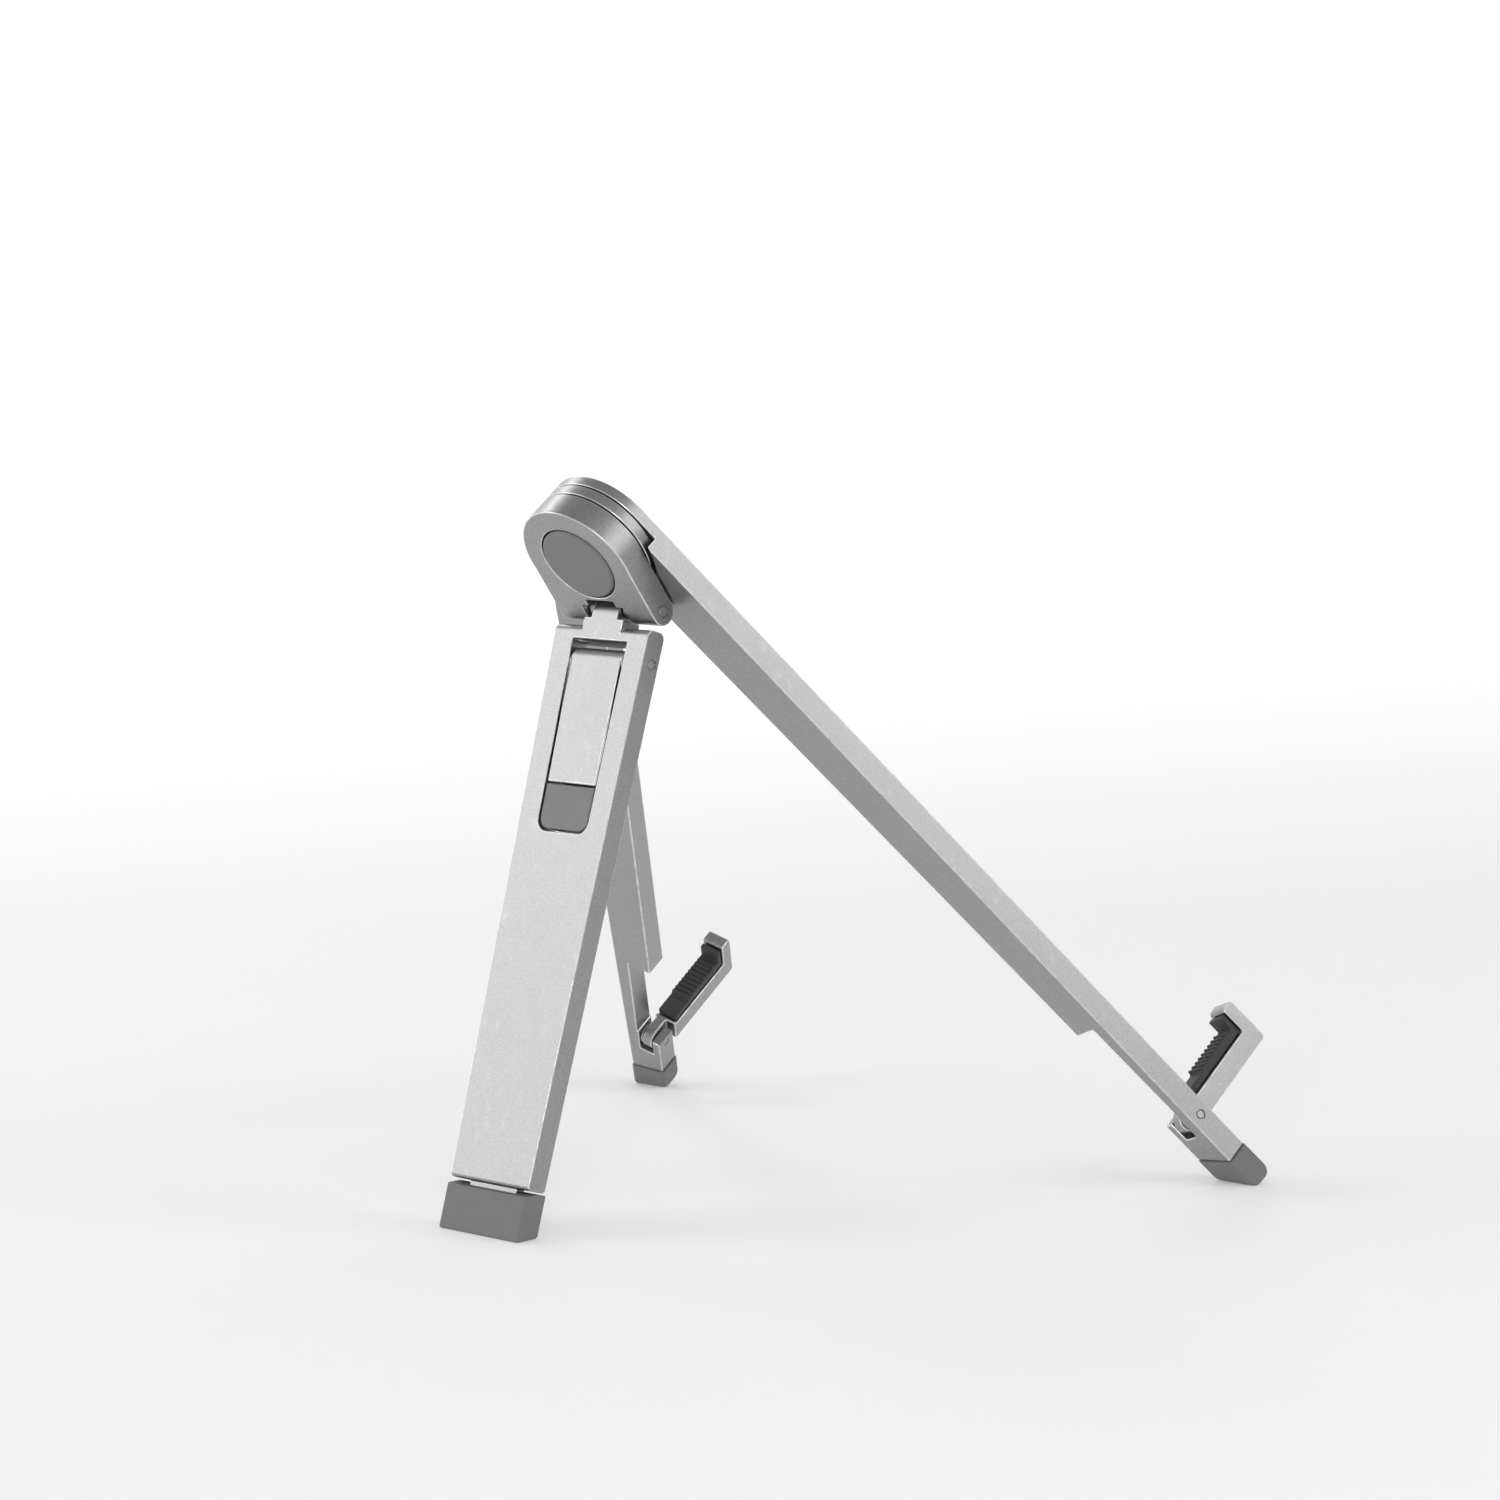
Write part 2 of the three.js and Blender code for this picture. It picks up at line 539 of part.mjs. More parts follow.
function rearFoot() {
  const slope = Math.tan(REAR_LEAN)
  const bottom = REAR_PIN_HEIGHT / Math.cos(REAR_LEAN)
  const half = rearHalfAt(REAR_METAL_END) + FOOT_PROUD
  const top = REAR_METAL_END + GAP
  const outline = extruded([
    [-half, -top],
    [-half, -bottom],
    [half, -bottom],
    [half, -top],
  ], REAR_FRONT - FOOT_PROUD, REAR_BACK + FOOT_PROUD)
  const shear = new THREE.Matrix4().set(1, 0, 0, 0, 0, 1, -slope, 0, 0, 0, 1, 0, 0, 0, 0, 1)
  const belowMetal = box([-BEYOND, BEYOND], [-2 * bottom, -top], [-BEYOND, BEYOND])
  return toSolid(outline.applyMatrix4(shear)).intersect(belowMetal).subtract(rearTenon(GAP))
}

function typingPin() {
  const end = rearHalfAt(TYPING_PIN) - RUNNING * 3
  return barX(TYPING_PIN_RADIUS, -end, end, PIN_SEGMENTS, -TYPING_PIN)
}

// Leaf that bears on the typing leg's round end and keeps it in the window.
function hubSpring() {
  const { from, to, half, front, back } = HUB_SPRING
  return box([-half, half], [-to, -from], [front, back])
}

// ---- Typing leg: the same frame as the rear leg that holds it ------------------------------------

const TYPING_BACK = REAR_BACK - RUNNING * 3
const TYPING_MIDDLE = TYPING_BACK - TYPING_THICKNESS / 2

function typingHalfAt(along) {
  const share = (along - WINDOW.from) / (WINDOW.to - WINDOW.from)
  return WINDOW.topHalf + (WINDOW.bottomHalf - WINDOW.topHalf) * share - TYPING_GAP
}

function typingSlab(from, to, rounding) {
  return prism([
    [-typingHalfAt(from), -from],
    [-typingHalfAt(to), -to, rounding],
    [typingHalfAt(to), -to, rounding],
    [typingHalfAt(from), -from],
  ], TYPING_MIDDLE - TYPING_THICKNESS / 2, TYPING_BACK)
}

function typingTenon(grow) {
  const { half, depth, length } = TYPING_TENON
  const levels = [TYPING_MIDDLE - depth / 2 - grow, TYPING_MIDDLE + depth / 2 + grow]
  return box([-half - grow, half + grow], [-TYPING_METAL_END - length - grow, 1 - TYPING_METAL_END], levels)
}

function typingLeg() {
  const half = typingHalfAt(TYPING_PIN)
  return typingSlab(TYPING_PIN, TYPING_METAL_END, 0)
    .add(barX(TYPING_THICKNESS / 2, -half, half, ROUND_SEGMENTS, -TYPING_PIN, TYPING_MIDDLE))
    .add(typingTenon(0))
    .subtract(barX(TYPING_PIN_RADIUS + RUNNING, -BEYOND, BEYOND, PIN_SEGMENTS, -TYPING_PIN))
}

function typingTip() {
  return typingSlab(TYPING_METAL_END + GAP, TYPING_TIP_END, WINDOW.rounding - TYPING_GAP)
    .subtract(typingTenon(GAP))
}

// ---- Assembly -----------------------------------------------------------------------------------

function frontLegGroup(side, ...extras) {
  const isRight = side === 'right'
  const leg = new THREE.Group()
  leg.rotation.z = isRight ? -SPREAD : SPREAD
  leg.add(
    piece(`front_leg_${side}`, frontLeg(!isRight), ALUMINIUM, isRight),
    piece(`front_foot_${side}`, frontFoot(), RUBBER, isRight),
    piece(`arm_${side}`, arm(), ALUMINIUM, isRight),
    piece(`arm_pad_${side}`, armPad(), RUBBER, isRight),
    piece(`arm_pin_${side}`, armPin(), STEEL, isRight),
    piece(`arm_washer_${side}`, armWasher(), STEEL, isRight),
    ...extras,
  )
  return leg
}

function rearLegGroup() {
  const rear = new THREE.Group()
  rear.position.set(0, -REAR_PIN_DROP, HEAD_FRONT + EAR_RADIUS)
  rear.rotation.x = -REAR_OPENING
  rear.add(
    piece('rear_leg', rearLeg(), ALUMINIUM),
    piece('rear_foot', rearFoot(), RUBBER),
    piece('typing_leg_pin', typingPin(), STEEL),
    piece('typing_leg_spring', hubSpring(), STEEL),
    piece('typing_leg', typingLeg(), ALUMINIUM),
    piece('typing_leg_tip', typingTip(), RUBBER),
  )
  return rear
}

// The knuckle and its hardware, with the legs hung on it. Seen from the front, x runs to the left.
function standGroup() {
  const stand = new THREE.Group()
  const across = new THREE.Vector3(-1, 0, 0)
  const up = new THREE.Vector3(0, Math.sin(LEAN), Math.cos(LEAN))
  const back = new THREE.Vector3(0, Math.cos(LEAN), -Math.sin(LEAN))
  stand.applyMatrix4(new THREE.Matrix4().makeBasis(across, up, back).setPosition(0, PIVOT_Y, PIVOT_HEIGHT))
  stand.add(
    piece('head_knuckle', headKnuckle(), ALUMINIUM),
    piece('head_cap', headCap(), CAP_GREY),
    piece('pivot_axle', pivotAxle(), STEEL),
    piece('pivot_nut', pivotNut(), STEEL),
    piece('pivot_spring_washer', springWasher(), STEEL),
    piece('pivot_washer_front', pivotWasher(DISC_DEPTH - WASHER.pocket), NYLON),
    piece('pivot_washer_rear', pivotWasher(LEG_DEPTH - WASHER.pocket), NYLON),
    piece('rear_hinge_pin', rearHingePin(), STEEL),
    piece('hinge_washer_left', hingeWasher(1), STEEL),
    piece('hinge_washer_right', hingeWasher(-1), STEEL),
    frontLegGroup('left', piece('front_pad', frontPad(), RUBBER)),
    frontLegGroup('right'),
    rearLegGroup(),
  )
  return stand
}

const root = new THREE.Group()
root.add(standGroup())

export default root
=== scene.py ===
"""Folding tablet stand: bead-blasted aluminium legs, steel pins and grey rubber over the CAD frame.

Everything is in metres, in the frame's own axes: +Z up, the tablet's side at -Y.
"""
import json
import logging
import math
from dataclasses import dataclass, field
from enum import Enum
from typing import Any, Callable, Iterable, Sequence

import bmesh
import bpy
from mathutils import Matrix, Quaternion, Vector

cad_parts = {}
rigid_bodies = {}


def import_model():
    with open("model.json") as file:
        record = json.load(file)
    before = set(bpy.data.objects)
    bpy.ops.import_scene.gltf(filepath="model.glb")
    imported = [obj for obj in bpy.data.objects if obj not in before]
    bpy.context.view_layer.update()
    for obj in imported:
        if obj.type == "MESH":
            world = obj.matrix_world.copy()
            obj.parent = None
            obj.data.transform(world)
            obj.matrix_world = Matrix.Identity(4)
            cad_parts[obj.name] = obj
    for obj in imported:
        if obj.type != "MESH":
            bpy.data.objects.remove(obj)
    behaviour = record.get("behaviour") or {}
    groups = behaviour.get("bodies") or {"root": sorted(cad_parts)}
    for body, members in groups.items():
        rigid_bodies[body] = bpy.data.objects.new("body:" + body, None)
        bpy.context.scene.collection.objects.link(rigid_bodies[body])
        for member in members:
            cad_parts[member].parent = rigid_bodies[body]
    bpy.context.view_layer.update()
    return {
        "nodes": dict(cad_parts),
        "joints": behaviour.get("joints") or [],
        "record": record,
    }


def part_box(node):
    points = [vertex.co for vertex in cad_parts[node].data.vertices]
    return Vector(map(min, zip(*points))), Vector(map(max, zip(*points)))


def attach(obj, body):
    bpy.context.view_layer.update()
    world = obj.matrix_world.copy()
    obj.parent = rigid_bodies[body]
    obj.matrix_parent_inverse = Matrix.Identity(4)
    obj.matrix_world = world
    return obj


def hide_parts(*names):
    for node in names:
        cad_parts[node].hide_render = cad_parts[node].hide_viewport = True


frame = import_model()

LOG = logging.getLogger("tablet_stand")
MM = 0.001
Colour = tuple[float, float, float]
SAME_PLACE = 0.002 * MM  # corners nearer than this are one corner
FLAT_ANGLE = math.radians(0.7)  # faces that meet at less than this are one flat face
SMOOTH_ANGLE = math.radians(38)
ALONG_LEG = 0.8  # how nearly a foot's face looks up its leg to count as its mouth


# ---- Shader maths ---------------------------------------------------------------------------------


class Shade:
    """A number in a shader, written with plain operators."""

    def __init__(self, tree: "ShaderTree", socket: bpy.types.NodeSocket) -> None:
        """Wraps an output socket of the tree."""
        self.tree = tree
        self.socket = socket

    def _math(self, operation: str, *operands: Any) -> "Shade":
        """Adds one Math node.

        Args:
            operation: the Math node's operation.
            operands: sockets, Shades or numbers, in order.

        Returns:
            The node's result.
        """
        node = self.tree.node("ShaderNodeMath", {"operation": operation}, dict(enumerate(operands)))
        return Shade(self.tree, node.outputs[0])

    def __add__(self, other: Any) -> "Shade":
        """self + other."""
        return self._math("ADD", self, other)

    def __radd__(self, other: Any) -> "Shade":
        """other + self."""
        return self._math("ADD", other, self)

    def __sub__(self, other: Any) -> "Shade":
        """self - other."""
        return self._math("SUBTRACT", self, other)

    def __rsub__(self, other: Any) -> "Shade":
        """other - self."""
        return self._math("SUBTRACT", other, self)

    def __mul__(self, other: Any) -> "Shade":
        """self * other."""
        return self._math("MULTIPLY", self, other)

    def __rmul__(self, other: Any) -> "Shade":
        """other * self."""
        return self._math("MULTIPLY", other, self)

    def __truediv__(self, other: Any) -> "Shade":
        """self / other."""
        return self._math("DIVIDE", self, other)

    def __pow__(self, other: Any) -> "Shade":
        """self to a power."""
        return self._math("POWER", self, other)

    def step(self, low: float, high: float) -> "Shade":
        """Rises smoothly from 0 at low to 1 at high."""
        values = {"Value": self, "From Min": low, "From Max": high}
        node = self.tree.node("ShaderNodeMapRange", {"interpolation_type": "SMOOTHSTEP"}, values)
        return Shade(self.tree, node.outputs["Result"])


class ShaderTree:
    """A material's node tree, ending in one Principled shader."""

    def __init__(self, name: str) -> None:
        """Starts an empty material of that name."""
        self.material = bpy.data.materials.new(name)
        self.material.use_nodes = True
        self.tree = self.material.node_tree
        self.tree.nodes.clear()
        self.place = self.node("ShaderNodeTexCoord").outputs["Object"]

    def node(self, kind: str, settings: dict | None = None, values: dict | None = None) -> bpy.types.Node:
        """Adds any node.

        Args:
            kind: the node's type.
            settings: properties, set first.
            values: socket name or index to a number, colour, socket or Shade.

        Returns:
            The new node.
        """
        node = self.tree.nodes.new(kind)
        for key, value in (settings or {}).items():
            setattr(node, key, value)
        for key, value in (values or {}).items():
            source = value.socket if isinstance(value, Shade) else value
            if isinstance(source, bpy.types.NodeSocket):
                self.tree.links.new(source, node.inputs[key])
            else:
                node.inputs[key].default_value = source
        return node

    def noise(
        self,
        grain: float,
        detail: float = 2.0,
        roughness: float = 0.5,
        stretch: Vector | None = None,
    ) -> Shade:
        """Noise with features of about one grain's size.

        Args:
            grain: feature size in metres.
            detail: octaves.
            roughness: share of the finer octaves.
            stretch: how many times longer the features are along each axis.

        Returns:
            The noise, about 0 to 1.
        """
        vector = self.place
        if stretch is not None:
            squeeze = (1 / stretch.x, 1 / stretch.y, 1 / stretch.z)
            scaled = self.node("ShaderNodeVectorMath", {"operation": "MULTIPLY"}, {0: vector, 1: squeeze})
            vector = scaled.outputs[0]
        values = {"Vector": vector, "Scale": 1 / grain, "Detail": detail, "Roughness": roughness}
        node = self.node("ShaderNodeTexNoise", {"noise_dimensions": "3D"}, values)
        return Shade(self, node.outputs[0])

    def mix(self, factor: Any, low: Sequence[float], high: Sequence[float]) -> bpy.types.NodeSocket:
        """A colour between two colours."""
        values = {"Factor": factor, 6: (*low, 1.0), 7: (*high, 1.0)}
        node = self.node("ShaderNodeMix", {"data_type": "RGBA"}, values)
        return node.outputs[2]

    def bump(self, height: Shade, depth: float, strength: float = 1.0) -> bpy.types.NodeSocket:
        """A normal from a height of 0 to 1 that stands for a depth in metres."""
        node = self.node("ShaderNodeBump", None, {"Height": height, "Distance": depth, "Strength": strength})
        return node.outputs["Normal"]

    def principled(self, values: dict) -> bpy.types.Material:
        """Closes the tree with a Principled shader.

        Args:
            values: socket name to a value, socket or Shade.

        Returns:
            The finished material.
        """
        shader = self.node("ShaderNodeBsdfPrincipled", None, values)
        self.node("ShaderNodeOutputMaterial", None, {"Surface": shader.outputs[0]})
        return self.material


# ---- Finishes -------------------------------------------------------------------------------------


@dataclass(frozen=True)
class BlastedAluminium:
    """Bead-blasted, clear anodised aluminium: a fine matte grain, faint clouds and handling marks."""

    name: str = "blasted_aluminium"
    dark: Colour = (0.28, 0.28, 0.282)
    light: Colour = (0.44, 0.44, 0.442)
    roughness: float = 0.38
    grain: float = 0.32 * MM
    grain_depth: float = 0.014 * MM
    cloud_size: float = 11 * MM
    mark_size: float = 1.6 * MM

    def material(self) -> bpy.types.Material:
        """The finish as a material."""
        tree = ShaderTree(self.name)
        beads = tree.noise(self.grain, 2.0, 0.55)
        cloud = tree.noise(self.cloud_size, 3.0, 0.55)
        marks = tree.noise(self.mark_size, 4.0, 0.6, Vector((1.0, 1.0, 3.0))).step(0.56, 0.74)
        tone = 0.5 + 1.5 * (beads - 0.5) + 0.35 * (cloud - 0.5)
        rough = self.roughness + 0.1 * (cloud - 0.5) + 0.12 * (beads - 0.5) - 0.06 * marks
        pits = beads + 0.5 * tree.noise(self.grain * 2.6, 1.0)
        return tree.principled({
            "Base Color": tree.mix(tone, self.dark, self.light),
            "Roughness": rough,
            "Metallic": 1.0,
            "Normal": tree.bump(pits, self.grain_depth),
        })


@dataclass(frozen=True)
class CutEdge:
    """The bright diamond-cut edges: cutter lines, small nicks and a little wear."""

    name: str = "cut_edge"
    dark: Colour = (0.42, 0.42, 0.422)
    light: Colour = (0.72, 0.72, 0.722)
    roughness: float = 0.24
    line_width: float = 0.09 * MM
    line_depth: float = 0.004 * MM
    wear_size: float = 2.4 * MM
    nick_size: float = 0.7 * MM

    def material(self) -> bpy.types.Material:
        """The finish as a material."""
        tree = ShaderTree(self.name)
        lines = tree.noise(self.line_width, 1.0, 0.5, Vector((1.0, 6.0, 12.0)))
        wear = tree.noise(self.wear_size, 4.0, 0.65).step(0.4, 0.7)
        nicks = tree.noise(self.nick_size, 3.0, 0.6).step(0.66, 0.74)
        return tree.principled({
            "Base Color": tree.mix(1.0 - 0.6 * wear - 0.3 * nicks, self.dark, self.light),
            "Roughness": self.roughness + 0.16 * wear + 0.06 * lines,
            "Metallic": 1.0,
            "Normal": tree.bump(lines - 1.5 * nicks, self.line_depth),
        })


@dataclass(frozen=True)
class GroundSteel:
    """Ground steel for pins, washers, nut and springs, with faint stains."""

    name: str = "ground_steel"
    dark: Colour = (0.3, 0.3, 0.305)
    light: Colour = (0.5, 0.5, 0.505)
    roughness: float = 0.28
    line_width: float = 0.06 * MM
    line_depth: float = 0.005 * MM
    stain_size: float = 2 * MM

    def material(self) -> bpy.types.Material:
        """The finish as a material."""
        tree = ShaderTree(self.name)
        ground = tree.noise(self.line_width, 2.0, 0.5, Vector((9.0, 1.0, 1.0)))
        stain = tree.noise(self.stain_size, 3.0, 0.6)
        return tree.principled({
            "Base Color": tree.mix(0.5 * ground + 0.5 * stain, self.dark, self.light),
            "Roughness": self.roughness + 0.14 * stain + 0.08 * ground,
            "Metallic": 1.0,
            "Normal": tree.bump(ground, self.line_depth),
        })


@dataclass(frozen=True)
class MouldedRubber:
    """Matte moulded rubber: fine pebbled skin, a cloudy tone, slightly shiny where it is rubbed."""

    name: str = "foot_rubber"
    dark: Colour = (0.15, 0.151, 0.153)
    light: Colour = (0.2, 0.201, 0.203)
    roughness: float = 0.62
    pebble: float = 0.35 * MM
    pebble_depth: float = 0.03 * MM
    cloud_size: float = 6 * MM
    rub_size: float = 3 * MM

    def material(self) -> bpy.types.Material:
        """The finish as a material."""
        tree = ShaderTree(self.name)
        values = {"Vector": tree.place, "Scale": 1 / self.pebble}
        cells = Shade(tree, tree.node("ShaderNodeTexVoronoi", {"feature": "F1"}, values).outputs["Distance"])
        skin = tree.noise(self.pebble * 0.5, 2.0, 0.6)
        cloud = tree.noise(self.cloud_size, 3.0, 0.6)
        rubbed = tree.noise(self.rub_size, 2.0, 0.5).step(0.55, 0.75)
        return tree.principled({
            "Base Color": tree.mix(0.5 * skin + 0.6 * cloud, self.dark, self.light),
            "Roughness": self.roughness + 0.12 * (cells - 0.5) - 0.1 * rubbed,
            "Metallic": 0.0,
            "Specular IOR Level": 0.4,
            "Normal": tree.bump(0.6 * cells + 0.4 * skin, self.pebble_depth),
        })


@dataclass(frozen=True)
class MouldedPlastic:
    """Satin moulded plastic with a fine spark-eroded texture."""

    name: str = "cap_plastic"
    dark: Colour = (0.15, 0.151, 0.153)
    light: Colour = (0.185, 0.186, 0.188)
    roughness: float = 0.5
    grain: float = 0.18 * MM
    grain_depth: float = 0.008 * MM
    cloud_size: float = 5 * MM
    scuff_size: float = 1.2 * MM

    def material(self) -> bpy.types.Material:
        """The finish as a material."""
        tree = ShaderTree(self.name)
        spark = tree.noise(self.grain, 2.0, 0.6)
        cloud = tree.noise(self.cloud_size, 3.0, 0.55)
        scuffs = tree.noise(self.scuff_size, 4.0, 0.6, Vector((4.0, 1.0, 1.0))).step(0.6, 0.75)
        return tree.principled({
            "Base Color": tree.mix(0.5 * spark + 0.6 * cloud, self.dark, self.light),
            "Roughness": self.roughness + 0.1 * (spark - 0.5) - 0.08 * scuffs,
            "Metallic": 0.0,
            "Normal": tree.bump(spark, self.grain_depth),
        })


class Finish(Enum):
    """The finishes that the stand's pieces are given."""

    ALUMINIUM = BlastedAluminium()
    CUT_EDGE = CutEdge()
    STEEL = GroundSteel()
    # Spring steel darkened to near black: painted shade of the window's top gap that the spring sits in.
    SPRING_STEEL = GroundSteel("spring_steel_painted_shade", (0.025, 0.026, 0.03), (0.07, 0.072, 0.08), 0.34)
    FOOT_RUBBER = MouldedRubber()
    TIP_RUBBER = MouldedRubber("tip_rubber", (0.18, 0.181, 0.183), (0.23, 0.231, 0.233), 0.55)
    # Pad rubber: its near-black colour is painted shade, the tablet's shadow over the pads; the rubber's own
    # grey is nearer the feet's.
    PAD_RUBBER = MouldedRubber("pad_rubber_painted_shade", (0.03, 0.03, 0.031), (0.055, 0.055, 0.056), 0.6, 0.25 * MM)
    CAP = MouldedPlastic()
    NYLON = MouldedPlastic("nylon", (0.62, 0.62, 0.58), (0.72, 0.72, 0.68), 0.45)

    def made(self) -> bpy.types.Material:
        """The finish's material, made once."""
        return bpy.data.materials.get(self.value.name) or self.value.material()


# ---- Frame facts ----------------------------------------------------------------------------------


@dataclass(frozen=True)
class Axis:
    """A line in space, mostly a hinge's axis: a point on it and its unit direction."""

    point: Vector
    direction: Vector

    @staticmethod
    def of_joint(name: str) -> "Axis":
        """The axis of a named joint of the frame."""
        joint = next(j for j in frame["joints"] if j["name"] == name)
        return Axis(Vector(joint["pos_m"]), Vector(joint["axis"]).normalized())

    def distance(self, place: Vector) -> float:
        """How far a place is from the axis."""
        offset = place - self.point
        return (offset - self.direction * offset.dot(self.direction)).length

    def along(self, place: Vector) -> float:
        """How far along the axis a place is."""
        return (place - self.point).dot(self.direction)

    def span(self, node: str) -> tuple[float, float]:
        """Lowest and highest place of a CAD node along the axis."""
        levels = [self.along(vertex.co) for vertex in frame["nodes"][node].data.vertices]
        return min(levels), max(levels)

    def reach(self, node: str) -> float:
        """The furthest that a CAD node stands from the axis."""
        return max(self.distance(vertex.co) for vertex in frame["nodes"][node].data.vertices)

    def turned_to_z(self) -> Matrix:
        """Places a shape that was made round +Z on this axis."""
        turn = self.direction.to_track_quat("Z", "Y").to_matrix().to_4x4()
        return Matrix.Translation(self.point) @ turn


def mount(name: str) -> Axis:
    """A mount's point and direction, from the frame's record."""
    record = next(entry for entry in frame["record"]["mounts"] if entry["name"] == name)
    return Axis(Vector(record["pos_m"]), Vector(record["axis"]).normalized())


# ---- Mesh work ------------------------------------------------------------------------------------


@dataclass(frozen=True)
class Rounding:
    """How a piece's sharp edges are broken."""

    width: float
    segments: int = 2
    angle: float = math.radians(28)
    bore_clear: float = 0.0


MOUTH_EDGE = Rounding(0.12 * MM, 2)
FINE_EDGE = Rounding(0.08 * MM, 1)
PIN_EDGE = Rounding(0.15 * MM, 2)


def link(mesh: bpy.types.Mesh, name: str) -> bpy.types.Object:
    """A new object at the origin that shows the mesh."""
    piece = bpy.data.objects.new(name, mesh)
    bpy.context.scene.collection.objects.link(piece)
    return piece


def smooth(piece: bpy.types.Object, angle: float = SMOOTH_ANGLE) -> None:
    """Shades the piece smoothly up to an angle, with flat faces kept flat."""
    mesh = piece.data
    mesh.polygons.foreach_set("use_smooth", [True] * len(mesh.polygons))
    mesh.set_sharp_from_angle(angle=angle)
    weighted = piece.modifiers.new("weighted_normals", "WEIGHTED_NORMAL")
    weighted.keep_sharp = True
    weighted.weight = 60


def merged_copy(node: str) -> bmesh.types.BMesh:
    """A CAD node's shape with its corners merged and its flat faces joined up."""
    shape = bmesh.new()
    shape.from_mesh(frame["nodes"][node].data)
    bmesh.ops.remove_doubles(shape, verts=shape.verts, dist=SAME_PLACE)
    bmesh.ops.dissolve_degenerate(shape, edges=shape.edges, dist=SAME_PLACE)
    bmesh.ops.dissolve_limit(shape, angle_limit=FLAT_ANGLE, verts=shape.verts, edges=shape.edges)
    return shape


def new_mesh(shape: bmesh.types.BMesh, name: str) -> bpy.types.Mesh:
    """The shape as a mesh; the shape itself is let go."""
    mesh = bpy.data.meshes.new(name)
    shape.to_mesh(mesh)
    shape.free()
    return mesh


def break_edges(
    shape: bmesh.types.BMesh,
    rounding: Rounding,
    bores: Iterable[Axis] = (),
    is_kept: Callable[[bmesh.types.BMEdge], bool] = lambda edge: False,
) -> None:
    """Rounds the sharp edges, apart from those of the pin bores.

    Args:
        shape: the shape to change; the new faces take the second finish.
        rounding: width, steps and the angle from which an edge is sharp.
        bores: axes of bores whose rims stay sharp within rounding.bore_clear.
        is_kept: tells which other edges stay sharp.
    """
    def is_cut(edge: bmesh.types.BMEdge) -> bool:
        """Whether the edge is sharp and not at a bore."""
        if len(edge.link_faces) != 2 or edge.calc_face_angle(0.0) < rounding.angle or is_kept(edge):
            return False
        middle = (edge.verts[0].co + edge.verts[1].co) / 2
        return all(axis.distance(middle) > rounding.bore_clear for axis in bores)

    edges = [edge for edge in shape.edges if is_cut(edge)]
    bmesh.ops.bevel(
        shape,
        geom=edges,
        offset=rounding.width,
        offset_type="OFFSET",
        segments=rounding.segments,
        profile=0.5,
        affect="EDGES",
        clamp_overlap=False,
        material=1,
        miter_outer="ARC",
    )


def dressed(
    piece: bpy.types.Object,
    body: str,
    nodes: Sequence[str],
    finishes: Sequence[Finish],
) -> None:
    """Gives a piece its finishes and hangs it on the frame.

    Args:
        piece: the finished mesh.
        body: the CAD body that it moves with.
        nodes: the CAD nodes that it stands for.
        finishes: its material slots, in order.
    """
    materials = piece.data.materials
    for index, finish in enumerate(finishes):
        if index < len(materials):
            materials[index] = finish.made()
        else:
            materials.append(finish.made())
    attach(piece, body)
    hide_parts(*nodes)
    LOG.info("%s rides on %s: %d faces", piece.name, body, len(piece.data.polygons))


def machined(
    node: str,
    body: str,
    finishes: Sequence[Finish],
    rounding: Rounding,
    bores: Iterable[Axis] = (),
) -> bpy.types.Object:
    """A CAD node made again with broken edges.

    Args:
        node: the CAD node.
        body: its body.
        finishes: faces' finish and broken edges' finish.
        rounding: how its edges are broken.
        bores: axes whose bores keep sharp rims.

    Returns:
        The finished piece.
    """
    shape = merged_copy(node)
    break_edges(shape, rounding, bores)
    piece = link(new_mesh(shape, node + "_finished"), node + "_finished")
    smooth(piece)
    dressed(piece, body, [node], finishes)
    return piece


def moulded_foot(node: str, body: str, hinge: Axis, rounding: Rounding) -> bpy.types.Object:
    """A rubber foot: soft edges all round, but a crisp mouth where it meets the metal.

    Args:
        node: the CAD node.
        body: its body.
        hinge: the upper hinge of its leg, which tells which way is up the leg.
        rounding: the soft edges.

    Returns:
        The finished piece.
    """
    low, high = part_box(node)
    up = (hinge.point - (low + high) / 2).normalized()
    shape = merged_copy(node)
    shape.normal_update()


    def at_mouth(edge: bmesh.types.BMEdge) -> bool:
        """Whether the edge bounds a face that looks up the leg."""
        return any(face.normal.dot(up) > ALONG_LEG for face in edge.link_faces)

    break_edges(shape, rounding, is_kept=at_mouth)
    shape.normal_update()
    break_edges(shape, MOUTH_EDGE)
    piece = link(new_mesh(shape, node + "_finished"), node + "_finished")
    smooth(piece)
    dressed(piece, body, [node], [Finish.FOOT_RUBBER, Finish.FOOT_RUBBER])
    return piece


def turned(
    name: str,
    profile: Sequence[tuple[float, float]],
    axis: Axis,
    steps: int = 128,
) -> bpy.types.Object:
    """A turned piece: a profile from the axis and back to it, spun round.

    Args:
        name: the piece's name.
        profile: radius and level pairs; the first and last lie on the axis.
        axis: the axis, with level 0 at its point.
        steps: sides of the round.

    Returns:
        The piece, closed and facing out.
    """
    shape = bmesh.new()
    rings: list[list[bmesh.types.BMVert]] = []
    for radius, level in profile:
        if radius == 0.0:
            rings.append([shape.verts.new((0.0, 0.0, level))])
            continue
        angles = [2 * math.pi * step / steps for step in range(steps)]
        rings.append([shape.verts.new((radius * math.cos(a), radius * math.sin(a), level)) for a in angles])
    for low, high in zip(rings, rings[1:]):
        for step in range(steps):
            after = (step + 1) % steps
            corners = [low[step % len(low)], low[after % len(low)]]
            corners += [high[after % len(high)], high[step % len(high)]]
            shape.faces.new(list(dict.fromkeys(corners)))
    bmesh.ops.recalc_face_normals(shape, faces=shape.faces)
    shape.transform(axis.turned_to_z())
    piece = link(new_mesh(shape, name), name)
    smooth(piece, math.radians(30))
    return piece


